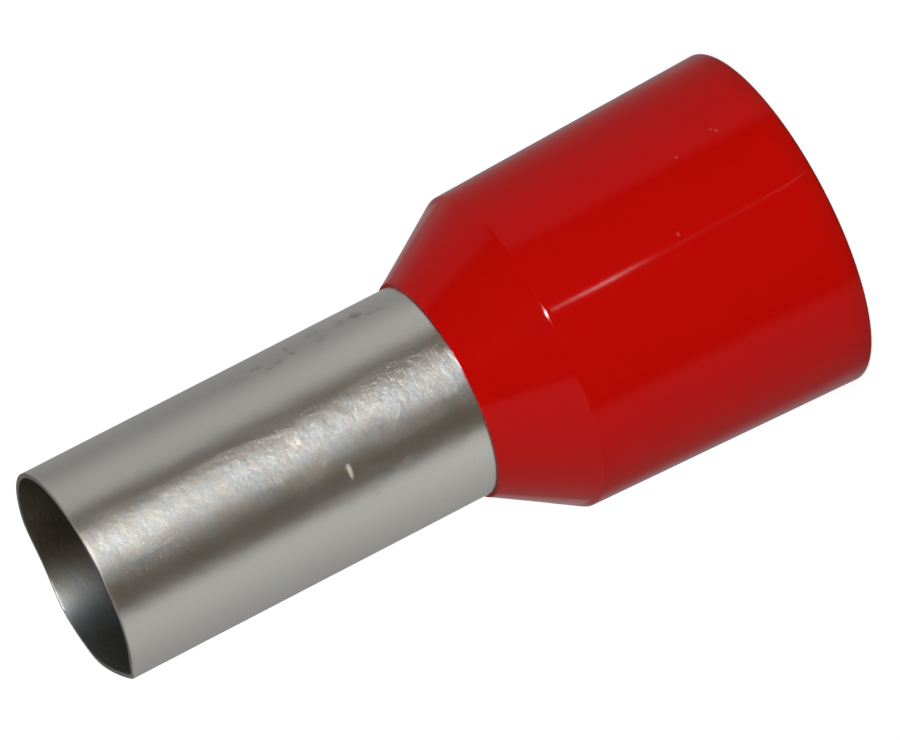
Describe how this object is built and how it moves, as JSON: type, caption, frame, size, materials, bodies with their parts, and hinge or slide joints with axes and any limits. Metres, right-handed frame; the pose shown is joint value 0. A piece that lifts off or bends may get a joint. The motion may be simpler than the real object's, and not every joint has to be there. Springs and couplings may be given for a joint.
{
  "type": "wire ferrule",
  "caption": "Insulated wire ferrule: a thin tinned copper tube, flared inside where the wire enters, held in a red plastic collar with a cone and a tapered skirt.",
  "frame": {"origin": "centre of the collar's mouth, in the plane of the rim that the ferrule stands on", "axes": "+Z along the axis, from the collar's mouth to the open end of the metal tube; X and Y are alike, because the part is round"},
  "size_m": [0.0138, 0.0138, 0.0308],
  "materials": {
    "tinned_copper": "satin tin plating with fine sparkling grain",
    "red_plastic": "smooth glossy moulded plastic"
  },
  "bodies": {
    "root": {"metal_tube": "tinned_copper", "plastic_collar": "red_plastic"}
  },
  "joints": []
}
